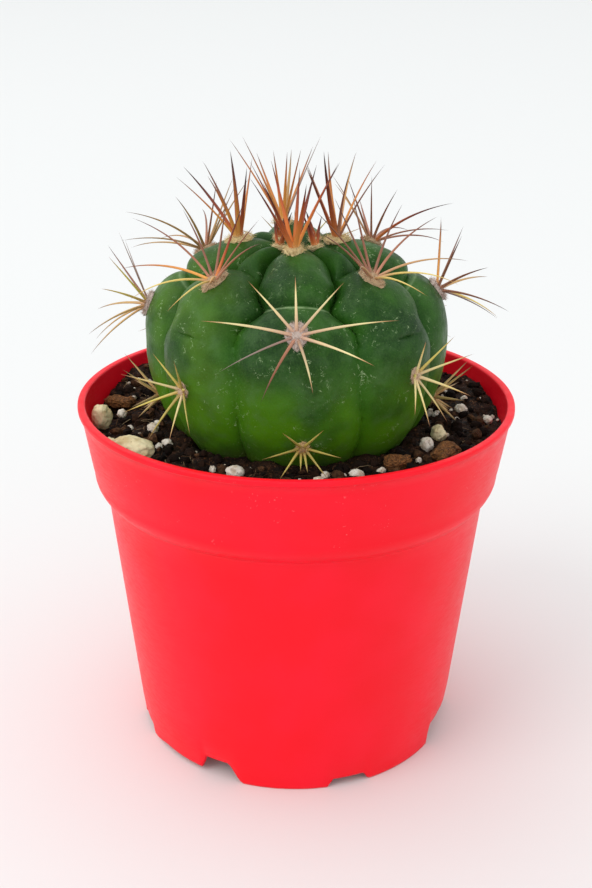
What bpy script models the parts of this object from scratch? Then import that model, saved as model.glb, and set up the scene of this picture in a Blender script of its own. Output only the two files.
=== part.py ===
"""A round cactus in its plastic nursery pot, in metres, +Z up.

The pot stands on Z = 0 with its axis on Z, and -Y is the front. Every sub-part is one closed solid:
the pot, the soil, the ribbed body, a cluster of spines for each areole, and the loose stones and
bark on the soil. The eight ribs are numbered from the front, turning towards +X.
"""

import math
import random

import bmesh
import bpy
from mathutils import Matrix, Vector, noise

MM = 0.001

# The pot
POT_HEIGHT = 70.5 * MM
RIM_RADIUS = 42.5 * MM
WALL = 1.0 * MM
LIP_HEIGHT = 0.9 * MM
LIP_PROJECTION = 0.5 * MM
COLLAR_HEIGHT = 14.0 * MM
COLLAR_TAPER = 2.1 * MM
SHOULDER_HEIGHT = 3.8 * MM
SHOULDER_DEPTH = 2.3 * MM
BASE_RADIUS = 32.0 * MM
FLOOR_LIFT = 3.0 * MM
FLOOR_THICKNESS = 1.0 * MM
NOTCH_COUNT = 8
NOTCH_WIDTH = 7.8 * MM
DEEP_NOTCH_HEIGHT = 4.0 * MM
SHALLOW_NOTCH_HEIGHT = 1.7 * MM
FIRST_NOTCH_ANGLE = -27.0
DRAIN_LENGTH = 3.5 * MM
POT_STEPS = 64

# The soil
SOIL_DROP = 5.0 * MM
SOIL_UNEVENNESS = 0.7 * MM
SOIL_CLOD_SIZE = 9.0 * MM
SOIL_STEPS = 48
SOIL_RINGS = 7

# The body
BODY_RADIUS = 29.0 * MM
EQUATOR_ABOVE_SOIL = 18.5 * MM
CROWN_RISE = 18.0 * MM
ROOT_DROP = 30.5 * MM
PROFILE_POWER = 2.2
RIB_COUNT = 8
GROOVE_DEPTH = 4.6 * MM
GROOVE_POWER = 2.6
CREASE_DEPTH = 1.3 * MM
CREASE_WIDTH = 6.0
DIMPLE_DEPTH = 2.6 * MM
DIMPLE_RADIUS = 6.0 * MM
BODY_STEPS = 48
BODY_RINGS = 28

# The areoles and their spines
LOW_AREOLE_HEIGHT = 4.5 * MM
LOWER_AREOLE_HEIGHT = 15.0 * MM
PAD_WIDTH = 4.0 * MM
PAD_LENGTH = 4.8 * MM
PAD_HEIGHT = 2.6 * MM
YOUNG_PAD_SCALE = 0.65
SPINE_RADIUS = 0.34 * MM
SPINE_TIP_SHARE = 0.25
SPINE_ROOT_SPREAD = 0.42
CROWN_ROOT_SPREAD = 0.2
CROWN_SPINE_SCALE = 1.3
BEND_PER_SEGMENT = 12.0
# The spines' lengths below suit this body, and a smaller or larger one has them to match.
SPINES_FIT_RADIUS = 29.0 * MM

# What touches keeps this much air
FIT_GAP = 0.3 * MM

RIB_ANGLE = 360.0 / RIB_COUNT
SOIL_LEVEL = POT_HEIGHT - SOIL_DROP
EQUATOR_LEVEL = SOIL_LEVEL + EQUATOR_ABOVE_SOIL
COLLAR_LEVEL = POT_HEIGHT - COLLAR_HEIGHT
SHOULDER_LEVEL = COLLAR_LEVEL - SHOULDER_HEIGHT
COLLAR_TOP_RADIUS = RIM_RADIUS - LIP_PROJECTION
COLLAR_RADIUS = COLLAR_TOP_RADIUS - COLLAR_TAPER
SHOULDER_RADIUS = COLLAR_RADIUS - SHOULDER_DEPTH
FLOOR_TOP = FLOOR_LIFT + FLOOR_THICKNESS
SPINE_SCALE = BODY_RADIUS / SPINES_FIT_RADIUS


def below_equator(height):
    """The elevation, in degrees, of a place on the lower body at a height above the soil."""
    share = (EQUATOR_ABOVE_SOIL - height) / ROOT_DROP
    return -math.degrees(math.asin(share ** (PROFILE_POWER / 2)))


# Elevation on the body, in degrees above its equator, of each level of areoles. Odd ribs carry
# a crown, a middle and a low areole, even ribs a young, an upper and a lower one.
LEVELS = {
    "crown": 72.0,
    "middle": 20.7,
    "low": below_equator(LOW_AREOLE_HEIGHT),
    "young": 82.0,
    "upper": 45.5,
    "lower": below_equator(LOWER_AREOLE_HEIGHT),
}
# How far, in degrees, some areoles sit off the middle of their rib (plus to its right) and
# above their level.
OFF_CENTRE = {
    (1, "crown"): (-4, 2),
    (3, "crown"): (-1, 5),
    (5, "crown"): (14, -3),
    (7, "crown"): (0, -2),
    (6, "upper"): (13, -2),
    (2, "upper"): (-2, 3.5),
    (7, "middle"): (2, -7),
    (3, "middle"): (2, 2),
    (8, "lower"): (0, -3.5),
    (2, "lower"): (2, 1.5),
    (1, "low"): (2.5, 0),
}
ODD_RIB_CREASES = (40.0,)
EVEN_RIB_CREASES = (13.0, 66.0)

# How each kind of cluster grows. Spines stand evenly round the areole, and each row gives how many
# there are, then the lift off the surface in degrees and the length in millimetres of those that
# point up the rib, sideways and down it, then how far, in degrees, the lower ones bend back to the
# surface and the side ones swing downwards.
HABITS = {
    "crown": (9, (72, 64, 54), (14, 18.5, 16), 12, 8),
    "young": (3, (76, 70, 70), (6, 5, 4.5), 0, 0),
    "star": (9, (16, 16, 16), (10, 17, 12), 4, 12),
    "middle": (9, (38, 40, 26), (13, 17, 13), 25, 12),
    "low": (8, (22, 40, 84), (9.5, 8, 3.8), 2, 0),
    "upper": (10, (42, 36, 20), (14, 18, 16), 40, 28),
    "lower": (8, (26, 36, 40), (9, 12, 9.5), 10, 6),
}
# The middle areoles of the front and back ribs spread their spines flat, in a star.
STAR_RIBS = (1, 5)
CLOCK_SCATTER = 8.0
LIFT_SCATTER = 3.0
LENGTH_SCATTER = 0.1
GROWTH_SEED = 1


def levels_of(rib):
    return ("crown", "middle", "low") if rib % 2 else ("young", "upper", "lower")


def grow_cluster(rib, level):
    """Each spine's clock angle (0 up the rib, 90 to its right), lift, length, bend and turn."""
    habit = "star" if level == "middle" and rib in STAR_RIBS else level
    count, lifts, lengths, droop, swing = HABITS[habit]
    dice = random.Random(GROWTH_SEED * 100 + rib * 10 + levels_of(rib).index(level))
    spines = []
    for i in range(count):
        clock = 360.0 * ((i + 0.5) / count - 0.5) + dice.uniform(-CLOCK_SCATTER, CLOCK_SCATTER)
        upward = math.cos(math.radians(clock))
        shares = (max(upward, 0.0), 1.0 - abs(upward), max(-upward, 0.0))
        lift = sum(share * value for share, value in zip(shares, lifts))
        length = sum(share * value for share, value in zip(shares, lengths))
        lift += dice.uniform(-LIFT_SCATTER, LIFT_SCATTER)
        length *= 1.0 + dice.uniform(-LENGTH_SCATTER, LENGTH_SCATTER)
        bend = droop * (shares[2] + 0.5 * shares[1])
        turn = math.copysign(swing * (1.0 - shares[0]), clock)
        spines.append((clock, lift, length, bend, turn))
    return spines


CLUSTERS = {
    (rib, level): grow_cluster(rib, level)
    for rib in range(1, RIB_COUNT + 1)
    for level in levels_of(rib)
}

# Loose pieces on the soil: angle from the front in degrees, distance of the middle from the pot's
# wall, size across, along and up, and turn in degrees. Lengths are in millimetres.
STONES = {
    "pumice_front_left": (-54, 4.3, (8.4, 6.0, 5.0), 25),
    "pumice_left": (-83, 3.0, (3.6, 4.0, 5.2), 0),
    "pumice_chip_left": (-66, 3.0, (3.0, 2.4, 2.2), 40),
    "pumice_right": (69, 12.0, (3.4, 3.0, 3.2), 15),
    "pumice_back": (171, 6.0, (5.2, 4.4, 4.2), 50),
    "perlite_left_1": (-74, 12.4, (3.2, 2.0, 1.9), 0),
    "perlite_left_2": (-59, 12.8, (2.4, 1.6, 1.6), 20),
    "perlite_left_3": (-89, 6.6, (2.4, 2.0, 1.8), 0),
    "perlite_front_1": (-21, 10.8, (3.4, 2.6, 2.4), 10),
    "perlite_front_2": (20, 9.8, (2.8, 2.4, 2.2), 0),
    "perlite_front_3": (7, 8.8, (2.2, 2.0, 2.0), 45),
    "perlite_ball": (57, 12.0, (2.6, 2.6, 2.9), 0),
    "perlite_right_1": (95, 8.0, (3.0, 2.4, 2.2), 20),
    "perlite_right_2": (86, 3.4, (2.2, 2.0, 1.8), 0),
    "perlite_back_1": (146, 9.6, (3.0, 2.6, 2.4), 0),
    "perlite_back_2": (-151, 5.4, (2.6, 2.4, 2.2), 35),
    "perlite_back_3": (-118, 6.0, (2.8, 2.6, 2.2), 0),
    "bark_front_right": (37, 10.4, (4.8, 3.4, 2.4), -20),
    "bark_right": (55, 7.4, (7.4, 4.0, 2.2), 8),
    "bark_left": (-101, 4.8, (5.6, 3.4, 1.8), 80),
    "bark_back": (-160, 6.4, (6.0, 4.0, 2.2), -20),
}
STONE_SHOWING = 0.28

COLOURS = {
    "pot": ((0.83, 0.016, 0.035), 0.38),
    "soil": ((0.022, 0.012, 0.008), 0.95),
    "body": ((0.028, 0.110, 0.024), 0.42),
    "spines": ((0.62, 0.40, 0.16), 0.55),
    "pumice": ((0.66, 0.56, 0.36), 0.90),
    "perlite": ((0.80, 0.74, 0.66), 0.85),
    "bark": ((0.15, 0.065, 0.028), 0.90),
}


def clear_scene():
    for obj in list(bpy.data.objects):
        bpy.data.objects.remove(obj)


def new_collection(name):
    collection = bpy.data.collections.new(name)
    bpy.context.scene.collection.children.link(collection)
    return collection


def new_material(name):
    colour, roughness = COLOURS[name]
    material = bpy.data.materials.new(name)
    material.use_nodes = True
    shader = material.node_tree.nodes["Principled BSDF"]
    shader.inputs["Base Color"].default_value = (*colour, 1.0)
    shader.inputs["Roughness"].default_value = roughness
    return material


def new_object(name, data, collection, material=None):
    obj = bpy.data.objects.new(name, data)
    collection.objects.link(obj)
    if material:
        data.materials.append(material)
    return obj


def mesh_from_bmesh(name, bm):
    mesh = bpy.data.meshes.new(name)
    bm.to_mesh(mesh)
    bm.free()
    return mesh


def make_helper(obj):
    obj.hide_render = True
    obj.display_type = "WIRE"


def add_boolean(obj, name, operation, operand):
    """A Boolean with an object, or with every object of a collection."""
    modifier = obj.modifiers.new(name, "BOOLEAN")
    modifier.operation = operation
    modifier.solver = "EXACT"
    if isinstance(operand, bpy.types.Collection):
        modifier.operand_type = "COLLECTION"
        modifier.collection = operand
    else:
        modifier.object = operand
        modifier.use_self = operation == "UNION"
    return modifier


def add_clearance(name, source, collection, gap):
    """A helper that is the source grown by the gap along its normals."""
    helper = new_object(name, source.data.copy(), collection)
    helper.matrix_world = source.matrix_world.copy()
    grow = helper.modifiers.new("grow", "DISPLACE")
    grow.direction = "NORMAL"
    grow.mid_level = 0.0
    grow.strength = gap
    make_helper(helper)
    return helper


def turned(name, profile, steps):
    """The mesh of a closed profile of (radius, height) points turned once round Z."""
    bm = bmesh.new()
    verts = [bm.verts.new((radius, 0.0, height)) for radius, height in profile]
    for first, second in zip(verts, verts[1:]):
        bm.edges.new((first, second))
    obj = bpy.data.objects.new(name, mesh_from_bmesh(name, bm))
    bpy.context.scene.collection.objects.link(obj)
    screw = obj.modifiers.new("turn", "SCREW")
    screw.steps = screw.render_steps = steps
    screw.use_merge_vertices = True
    screw.merge_threshold = 1e-6
    graph = bpy.context.evaluated_depsgraph_get()
    mesh = bpy.data.meshes.new_from_object(obj.evaluated_get(graph))
    mesh.name = name
    bpy.data.objects.remove(obj)
    return mesh


def smooth(mesh, angle):
    mesh.shade_smooth()
    mesh.set_sharp_from_angle(angle=math.radians(angle))


def around(angle, radius, height=0.0):
    """The point at an angle from the front (-Y), plus towards +X, in degrees."""
    turn = math.radians(angle)
    return Vector((radius * math.sin(turn), -radius * math.cos(turn), height))


# Pot


def wall_radius(height):
    """The outside of the pot's tapered wall below the shoulder."""
    return BASE_RADIUS + (SHOULDER_RADIUS - BASE_RADIUS) * height / SHOULDER_LEVEL


def collar_outline(inset):
    """The collar and the shoulder from top to bottom, moved in by the inset."""
    bend = [(1.0, 0.0), (0.86, 0.42), (0.5, 0.78), (0.0, 1.0)]
    points = [(COLLAR_TOP_RADIUS - inset, POT_HEIGHT - LIP_HEIGHT)]
    for share, drop in bend:
        radius = SHOULDER_RADIUS + SHOULDER_DEPTH * share - inset
        points.append((radius, COLLAR_LEVEL - SHOULDER_HEIGHT * drop))
    return points


def pot_profile():
    inner_floor_radius = wall_radius(FLOOR_TOP) - WALL
    inner = [(0.0, FLOOR_TOP), (inner_floor_radius, FLOOR_TOP)]
    inner += reversed(collar_outline(WALL))
    rim_inner = COLLAR_TOP_RADIUS - WALL
    rim = [
        (rim_inner, POT_HEIGHT - 0.3 * LIP_HEIGHT),
        (rim_inner + 0.3 * WALL, POT_HEIGHT),
        (RIM_RADIUS - 0.3 * WALL, POT_HEIGHT),
        (RIM_RADIUS, POT_HEIGHT - 0.3 * LIP_HEIGHT),
        (RIM_RADIUS, POT_HEIGHT - LIP_HEIGHT),
    ]
    outer = collar_outline(0.0)
    outer[0] = (COLLAR_TOP_RADIUS, POT_HEIGHT - 1.3 * LIP_HEIGHT)
    foot = [
        (BASE_RADIUS, 0.0),
        (BASE_RADIUS - WALL, 0.0),
        (wall_radius(FLOOR_LIFT) - WALL, FLOOR_LIFT),
        (0.0, FLOOR_LIFT),
    ]
    return inner + rim + outer + foot


def add_box(bm, low, high, turn):
    """A box between two corners, turned about Z by the angle in degrees."""
    low, high = Vector(low), Vector(high)
    size = high - low
    move = Matrix.Rotation(math.radians(turn), 4, "Z") @ Matrix.Translation((low + high) / 2)
    scale = Matrix.Diagonal((*size, 1.0))
    bmesh.ops.create_cube(bm, size=1.0, matrix=move @ scale)


def build_pot(parts, cutters, material):
    mesh = turned("pot", pot_profile(), POT_STEPS)
    smooth(mesh, 30)
    pot = new_object("pot", mesh, parts, material)
    half = NOTCH_WIDTH / 2
    for index in range(NOTCH_COUNT):
        deep = index % 2 == 0
        height = DEEP_NOTCH_HEIGHT if deep else SHALLOW_NOTCH_HEIGHT
        angle = FIRST_NOTCH_ANGLE + index * 360.0 / NOTCH_COUNT
        bm = bmesh.new()
        inside = BASE_RADIUS - 3 * WALL
        outside = BASE_RADIUS + 3 * WALL
        add_box(bm, (-half, -outside, -WALL), (half, -inside, height), angle)
        notch = new_object(f"notch_{index + 1}", mesh_from_bmesh("notch", bm), cutters)
        make_helper(notch)
        add_boolean(pot, notch.name, "DIFFERENCE", notch)
        if deep:
            bm = bmesh.new()
            drain_outer = BASE_RADIUS - 2 * WALL
            drain_inner = drain_outer - DRAIN_LENGTH
            top = FLOOR_TOP + WALL
            add_box(bm, (-half, -drain_outer, WALL), (half, -drain_inner, top), angle)
            drain = new_object(f"drain_{index + 1}", mesh_from_bmesh("drain", bm), cutters)
            make_helper(drain)
            add_boolean(pot, drain.name, "DIFFERENCE", drain)
    return pot


# Soil


def soil_height(x, y):
    """The uneven top of the soil."""
    place = Vector((x, y, 0.0)) / SOIL_CLOD_SIZE
    return SOIL_LEVEL + SOIL_UNEVENNESS * noise.noise(place)


def soil_profile():
    top_radius = COLLAR_TOP_RADIUS - WALL - FIT_GAP
    top_radius -= COLLAR_TAPER * (SOIL_DROP - LIP_HEIGHT) / (COLLAR_HEIGHT - LIP_HEIGHT)
    rings = [(top_radius * ring / SOIL_RINGS, SOIL_LEVEL) for ring in range(SOIL_RINGS + 1)]
    inner = [(r - FIT_GAP, z + FIT_GAP) for r, z in collar_outline(WALL)[1:]]
    bottom = FLOOR_TOP + FIT_GAP
    bottom_radius = wall_radius(bottom) - WALL - FIT_GAP
    return rings + inner + [(bottom_radius, bottom), (0.0, bottom)]


def build_soil(parts, material):
    mesh = turned("soil", soil_profile(), SOIL_STEPS)
    for vertex in mesh.vertices:
        if vertex.co.z > SOIL_LEVEL - 0.5 * MM:
            vertex.co.z = soil_height(vertex.co.x, vertex.co.y)
    smooth(mesh, 40)
    return new_object("soil", mesh, parts, material)


# Body


def crest_point(elevation):
    """Radius, height and outward normal on the top of a rib, at an elevation in degrees."""
    across = math.cos(math.radians(elevation))
    up = math.sin(math.radians(elevation))
    rise = CROWN_RISE if up >= 0 else ROOT_DROP
    share = abs(up) ** (2 / PROFILE_POWER)
    radius = BODY_RADIUS * max(across, 0.0) ** (2 / PROFILE_POWER)
    height = EQUATOR_LEVEL + math.copysign(rise * share, up)
    slope = PROFILE_POWER - 1
    normal_out = (radius / BODY_RADIUS) ** slope / BODY_RADIUS
    normal_up = math.copysign(share**slope / rise, up)
    size = math.hypot(normal_out, normal_up)
    return radius, height, normal_out / size, normal_up / size


def body_point(angle, elevation):
    """A point of the ribbed body, at an angle from the front and an elevation, in degrees."""
    radius, height, out, up = crest_point(elevation)
    rib = math.floor(angle / RIB_ANGLE + 0.5)
    across = abs(angle / RIB_ANGLE - rib) * 2
    level = math.cos(math.radians(elevation)) ** 0.5 if abs(elevation) < 90 else 0.0
    fullness = 0.8 + 0.6 * math.sin(math.radians(elevation))
    sink = GROOVE_DEPTH * level * fullness * across**GROOVE_POWER
    creases = ODD_RIB_CREASES if rib % 2 == 0 else EVEN_RIB_CREASES
    for crease in creases:
        nearness = math.exp(-(((elevation - crease) / CREASE_WIDTH) ** 2))
        sink += CREASE_DEPTH * nearness * (1 - across**2)
    radius -= sink * out
    height -= sink * up
    if elevation > 0:
        height -= DIMPLE_DEPTH * math.exp(-((radius / DIMPLE_RADIUS) ** 2))
    return around(angle, max(radius, 0.0), height)


def build_body(parts, material):
    bm = bmesh.new()
    bmesh.ops.create_uvsphere(bm, u_segments=BODY_STEPS, v_segments=BODY_RINGS, radius=1.0)
    for vertex in bm.verts:
        x, y, z = vertex.co
        angle = math.degrees(math.atan2(x, -y))
        elevation = math.degrees(math.asin(max(-1.0, min(1.0, z))))
        vertex.co = body_point(angle, elevation)
    mesh = mesh_from_bmesh("cactus_body", bm)
    smooth(mesh, 40)
    return new_object("cactus_body", mesh, parts, material)


# Areoles and spines


def surface_frame(angle, elevation):
    """Point, outward normal, direction up the rib and direction to its right."""
    step = 1.0
    here = body_point(angle, elevation)
    up = (body_point(angle, elevation + step) - body_point(angle, elevation - step)).normalized()
    right = around(angle + 90.0, 1.0)
    normal = right.cross(up).normalized() * -1.0
    if normal.dot(here - Vector((0.0, 0.0, EQUATOR_LEVEL - CROWN_RISE))) < 0:
        normal.negate()
    return here, normal, up, right


def spine_points(frame, spine, pad_scale, root_spread):
    """The middle line of a spine, from inside the woolly pad to its tip."""
    here, normal, up, right = frame
    clock, lift, length, bend, turn = spine
    flat = up * math.cos(math.radians(clock)) + right * math.sin(math.radians(clock))
    side = flat.cross(normal)
    root = here + flat * (root_spread * PAD_WIDTH * pad_scale / 2)
    root += normal * (0.2 * PAD_HEIGHT * pad_scale)
    curl = max(abs(bend), abs(turn))
    segments = 1 + max(1, math.ceil(curl / BEND_PER_SEGMENT / 2))
    points = [root]
    for index in range(segments):
        share = (index + 0.5) / segments
        angle = math.radians(lift + bend * (0.5 - share))
        direction = flat * math.cos(angle) + normal * math.sin(angle)
        direction += side * (math.radians(turn) * (share - 0.5))
        points.append(points[-1] + direction.normalized() * (length * MM * SPINE_SCALE / segments))
    return points


def spines_mesh(name, frame, spines, thickness, pad_scale, root_spread):
    """All spines of one cluster as tapered four-sided needles, one closed needle each."""
    curve = bpy.data.curves.new(name, "CURVE")
    curve.dimensions = "3D"
    curve.bevel_depth = thickness
    curve.bevel_resolution = 0
    curve.use_fill_caps = True
    for spine in spines:
        points = spine_points(frame, spine, pad_scale, root_spread)
        line = curve.splines.new("POLY")
        line.points.add(len(points) - 1)
        for index, (slot, point) in enumerate(zip(line.points, points)):
            slot.co = (*point, 1.0)
            slot.radius = 1.0 - (1.0 - SPINE_TIP_SHARE) * index / (len(points) - 1)
    obj = bpy.data.objects.new(name, curve)
    bpy.context.scene.collection.objects.link(obj)
    graph = bpy.context.evaluated_depsgraph_get()
    mesh = bpy.data.meshes.new_from_object(obj.evaluated_get(graph))
    bpy.data.objects.remove(obj)
    bm = bmesh.new()
    bm.from_mesh(mesh)
    bmesh.ops.remove_doubles(bm, verts=bm.verts, dist=1e-7)
    bm.to_mesh(mesh)
    bm.free()
    return mesh


def build_cluster(rib, level, spines, parts, cutters, clearance, material):
    """A woolly pad on the rib with its spines, kept just off the body."""
    turn_off, rise = OFF_CENTRE.get((rib, level), (0, 0))
    frame = surface_frame((rib - 1) * RIB_ANGLE + turn_off, LEVELS[level] + rise)
    here, normal, up, right = frame
    name = f"spines_rib{rib}_{level}"
    pad_scale = YOUNG_PAD_SCALE if level == "young" else 1.0
    turn = Matrix((right, up, normal)).transposed().to_4x4()
    size = Matrix.Diagonal((PAD_WIDTH / 2, PAD_LENGTH / 2, PAD_HEIGHT / 2, 1.0))
    bm = bmesh.new()
    bmesh.ops.create_icosphere(bm, subdivisions=2, radius=pad_scale)
    bmesh.ops.transform(bm, matrix=Matrix.Translation(here) @ turn @ size, verts=bm.verts)
    bmesh.ops.recalc_face_normals(bm, faces=bm.faces)
    pad = new_object(name, mesh_from_bmesh(name, bm), parts, material)
    thickness = SPINE_RADIUS * (CROWN_SPINE_SCALE if level == "crown" else 1.0)
    root_spread = CROWN_ROOT_SPREAD if level == "crown" else SPINE_ROOT_SPREAD
    mesh = spines_mesh(f"needles_rib{rib}_{level}", frame, spines, thickness, pad_scale, root_spread)
    needles = new_object(mesh.name, mesh, cutters)
    make_helper(needles)
    add_boolean(pad, "needles", "UNION", needles)
    add_boolean(pad, "off_the_body", "DIFFERENCE", clearance)


# Stones


def build_stone(name, parts, materials):
    """A rounded lump for pumice and perlite, a bevelled slab for bark, resting in the soil."""
    angle, from_wall, size, turn = STONES[name]
    kind = name.split("_")[0]
    middle = around(angle, COLLAR_TOP_RADIUS - WALL - from_wall * MM)
    middle.z = soil_height(middle.x, middle.y) + STONE_SHOWING * size[2] * MM
    bm = bmesh.new()
    if kind == "bark":
        bmesh.ops.create_cube(bm, size=1.0)
        bmesh.ops.bevel(bm, geom=bm.edges, offset=0.18, segments=1, affect="EDGES")
    else:
        bmesh.ops.create_icosphere(bm, subdivisions=2 if size[0] > 3.5 else 1, radius=0.5)
        for vertex in bm.verts:
            vertex.co *= 1.0 + 0.22 * noise.noise(vertex.co * 2.6 + middle / MM)
    place = Matrix.Translation(middle) @ Matrix.Rotation(math.radians(angle + turn), 4, "Z")
    scale = Matrix.Diagonal((*(Vector(size) * MM), 1.0))
    bmesh.ops.transform(bm, matrix=place @ scale, verts=bm.verts)
    return new_object(name, mesh_from_bmesh(name, bm), parts, materials[kind])


def main():
    clear_scene()
    parts = new_collection("potted_cactus")
    cutters = new_collection("cutters")
    soil_cutters = new_collection("soil_cutters")
    materials = {name: new_material(name) for name in COLOURS}

    build_pot(parts, cutters, materials["pot"])
    soil = build_soil(parts, materials["soil"])
    body = build_body(parts, materials["body"])
    bed = add_clearance("body_bed", body, soil_cutters, FIT_GAP)
    for (rib, level), spines in CLUSTERS.items():
        build_cluster(rib, level, spines, parts, cutters, bed, materials["spines"])
    for name in STONES:
        stone = build_stone(name, parts, materials)
        add_clearance(f"{name}_seat", stone, soil_cutters, FIT_GAP)
    add_boolean(soil, "beds", "DIFFERENCE", soil_cutters)


main()
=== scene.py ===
"""The looks of a round cactus with long spines in a red plastic nursery pot.

Metres, +Z up, -Y is the front. The ribs are numbered from the front, turning towards +X.
"""

import math
import random

import bmesh
import bpy
import numpy as np
from mathutils import Matrix, Vector, noise


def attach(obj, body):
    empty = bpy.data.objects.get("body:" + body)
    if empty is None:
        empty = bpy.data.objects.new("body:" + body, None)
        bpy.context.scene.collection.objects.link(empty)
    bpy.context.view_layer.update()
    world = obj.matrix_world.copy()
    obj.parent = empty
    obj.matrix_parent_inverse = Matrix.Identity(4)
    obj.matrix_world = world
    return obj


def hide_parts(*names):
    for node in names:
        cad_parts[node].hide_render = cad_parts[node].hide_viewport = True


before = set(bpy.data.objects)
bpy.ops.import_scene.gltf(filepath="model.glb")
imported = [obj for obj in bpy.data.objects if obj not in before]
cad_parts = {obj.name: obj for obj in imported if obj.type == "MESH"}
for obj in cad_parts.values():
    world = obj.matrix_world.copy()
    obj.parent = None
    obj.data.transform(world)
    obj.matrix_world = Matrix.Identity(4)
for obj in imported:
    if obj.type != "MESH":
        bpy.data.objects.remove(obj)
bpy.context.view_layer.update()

MM = 0.001

# Sizes shared with the CAD model
POT_HEIGHT = 70.5 * MM
RIM_RADIUS = 42.5 * MM
WALL = 1.0 * MM
LIP_HEIGHT = 0.9 * MM
LIP_PROJECTION = 0.5 * MM
COLLAR_HEIGHT = 14.0 * MM
COLLAR_TAPER = 2.1 * MM
SHOULDER_HEIGHT = 3.8 * MM
SHOULDER_DEPTH = 2.3 * MM
BASE_RADIUS = 32.0 * MM
FLOOR_LIFT = 3.0 * MM
FLOOR_THICKNESS = 1.0 * MM
NOTCH_COUNT = 8
NOTCH_WIDTH = 7.8 * MM
DEEP_NOTCH_HEIGHT = 4.0 * MM
SHALLOW_NOTCH_HEIGHT = 1.7 * MM
FIRST_NOTCH_ANGLE = -27.0
DRAIN_LENGTH = 3.5 * MM
SOIL_DROP = 5.0 * MM
SOIL_UNEVENNESS = 0.7 * MM
SOIL_CLOD_SIZE = 9.0 * MM
BODY_RADIUS = 29.0 * MM
EQUATOR_ABOVE_SOIL = 18.5 * MM
CROWN_RISE = 18.0 * MM
ROOT_DROP = 30.5 * MM
PROFILE_POWER = 2.2
RIB_COUNT = 8
GROOVE_DEPTH = 4.6 * MM
DIMPLE_DEPTH = 2.6 * MM
DIMPLE_RADIUS = 6.0 * MM
LOW_AREOLE_HEIGHT = 4.5 * MM
LOWER_AREOLE_HEIGHT = 15.0 * MM
PAD_WIDTH = 4.0 * MM
PAD_HEIGHT = 2.6 * MM
SPINE_RADIUS = 0.26 * MM
FIT_GAP = 0.3 * MM

RIB_ANGLE = 360.0 / RIB_COUNT
SOIL_LEVEL = POT_HEIGHT - SOIL_DROP
EQUATOR_LEVEL = SOIL_LEVEL + EQUATOR_ABOVE_SOIL
COLLAR_LEVEL = POT_HEIGHT - COLLAR_HEIGHT
SHOULDER_LEVEL = COLLAR_LEVEL - SHOULDER_HEIGHT
COLLAR_TOP_RADIUS = RIM_RADIUS - LIP_PROJECTION
COLLAR_RADIUS = COLLAR_TOP_RADIUS - COLLAR_TAPER
SHOULDER_RADIUS = COLLAR_RADIUS - SHOULDER_DEPTH
FLOOR_TOP = FLOOR_LIFT + FLOOR_THICKNESS


def below_equator(height):
    """The elevation, in degrees, of a place on the lower body at a height above the soil."""
    share = (EQUATOR_ABOVE_SOIL - height) / ROOT_DROP
    return -math.degrees(math.asin(share ** (PROFILE_POWER / 2)))


# Elevation on the body, in degrees above its equator, of each level of areoles.
LEVELS = {
    "crown": 72.0,
    "middle": 20.7,
    "low": below_equator(LOW_AREOLE_HEIGHT),
    "young": 82.0,
    "upper": 45.5,
    "lower": below_equator(LOWER_AREOLE_HEIGHT),
}
# How far, in degrees, some areoles sit off the middle of their rib (plus to its right) and
# above their level.
OFF_CENTRE = {
    (1, "crown"): (-4, 2),
    (3, "crown"): (-1, 5),
    (5, "crown"): (14, -3),
    (7, "crown"): (0, -2),
    (6, "upper"): (13, -2),
    (2, "upper"): (-2, 3.5),
    (7, "middle"): (2, -7),
    (3, "middle"): (2, 2),
    (8, "lower"): (0, -3.5),
    (2, "lower"): (2, 1.5),
    (1, "low"): (2.5, 0),
}

# How each kind of cluster grows. Spines stand evenly round the areole, and each row gives how many
# there are, then the lift off the surface in degrees and the length in millimetres of those that
# point up the rib, sideways and down it, then how far, in degrees, the lower ones bend back to the
# surface and the side ones swing downwards.
HABITS = {
    "crown": (9, (72, 64, 54), (14, 18.5, 16), 12, 8),
    "young": (3, (76, 70, 70), (6, 5, 4.5), 0, 0),
    "star": (9, (16, 16, 16), (10, 17, 12), 4, 12),
    "middle": (9, (38, 40, 26), (13, 17, 13), 25, 12),
    "low": (8, (22, 40, 84), (9.5, 8, 3.8), 2, 0),
    "upper": (10, (42, 36, 20), (14, 18, 16), 40, 28),
    "lower": (8, (26, 36, 40), (9, 12, 9.5), 10, 6),
}
# The middle areoles of the front and back ribs spread their spines flat, in a star.
STAR_RIBS = (1, 5)
CLOCK_SCATTER = 8.0
LIFT_SCATTER = 3.0
LENGTH_SCATTER = 0.1
GROWTH_SEED = 1


def levels_of(rib):
    return ("crown", "middle", "low") if rib % 2 else ("young", "upper", "lower")


def grow_cluster(rib, level):
    """Each spine's clock angle (0 up the rib, 90 to its right), lift, length, bend and turn."""
    habit = "star" if level == "middle" and rib in STAR_RIBS else level
    count, lifts, lengths, droop, swing = HABITS[habit]
    dice = random.Random(GROWTH_SEED * 100 + rib * 10 + levels_of(rib).index(level))
    spines = []
    for i in range(count):
        clock = 360.0 * ((i + 0.5) / count - 0.5) + dice.uniform(-CLOCK_SCATTER, CLOCK_SCATTER)
        upward = math.cos(math.radians(clock))
        shares = (max(upward, 0.0), 1.0 - abs(upward), max(-upward, 0.0))
        lift = sum(share * value for share, value in zip(shares, lifts))
        length = sum(share * value for share, value in zip(shares, lengths))
        lift += dice.uniform(-LIFT_SCATTER, LIFT_SCATTER)
        length *= 1.0 + dice.uniform(-LENGTH_SCATTER, LENGTH_SCATTER)
        bend = droop * (shares[2] + 0.5 * shares[1])
        turn = math.copysign(swing * (1.0 - shares[0]), clock)
        spines.append((clock, lift, length, bend, turn))
    return spines


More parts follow.
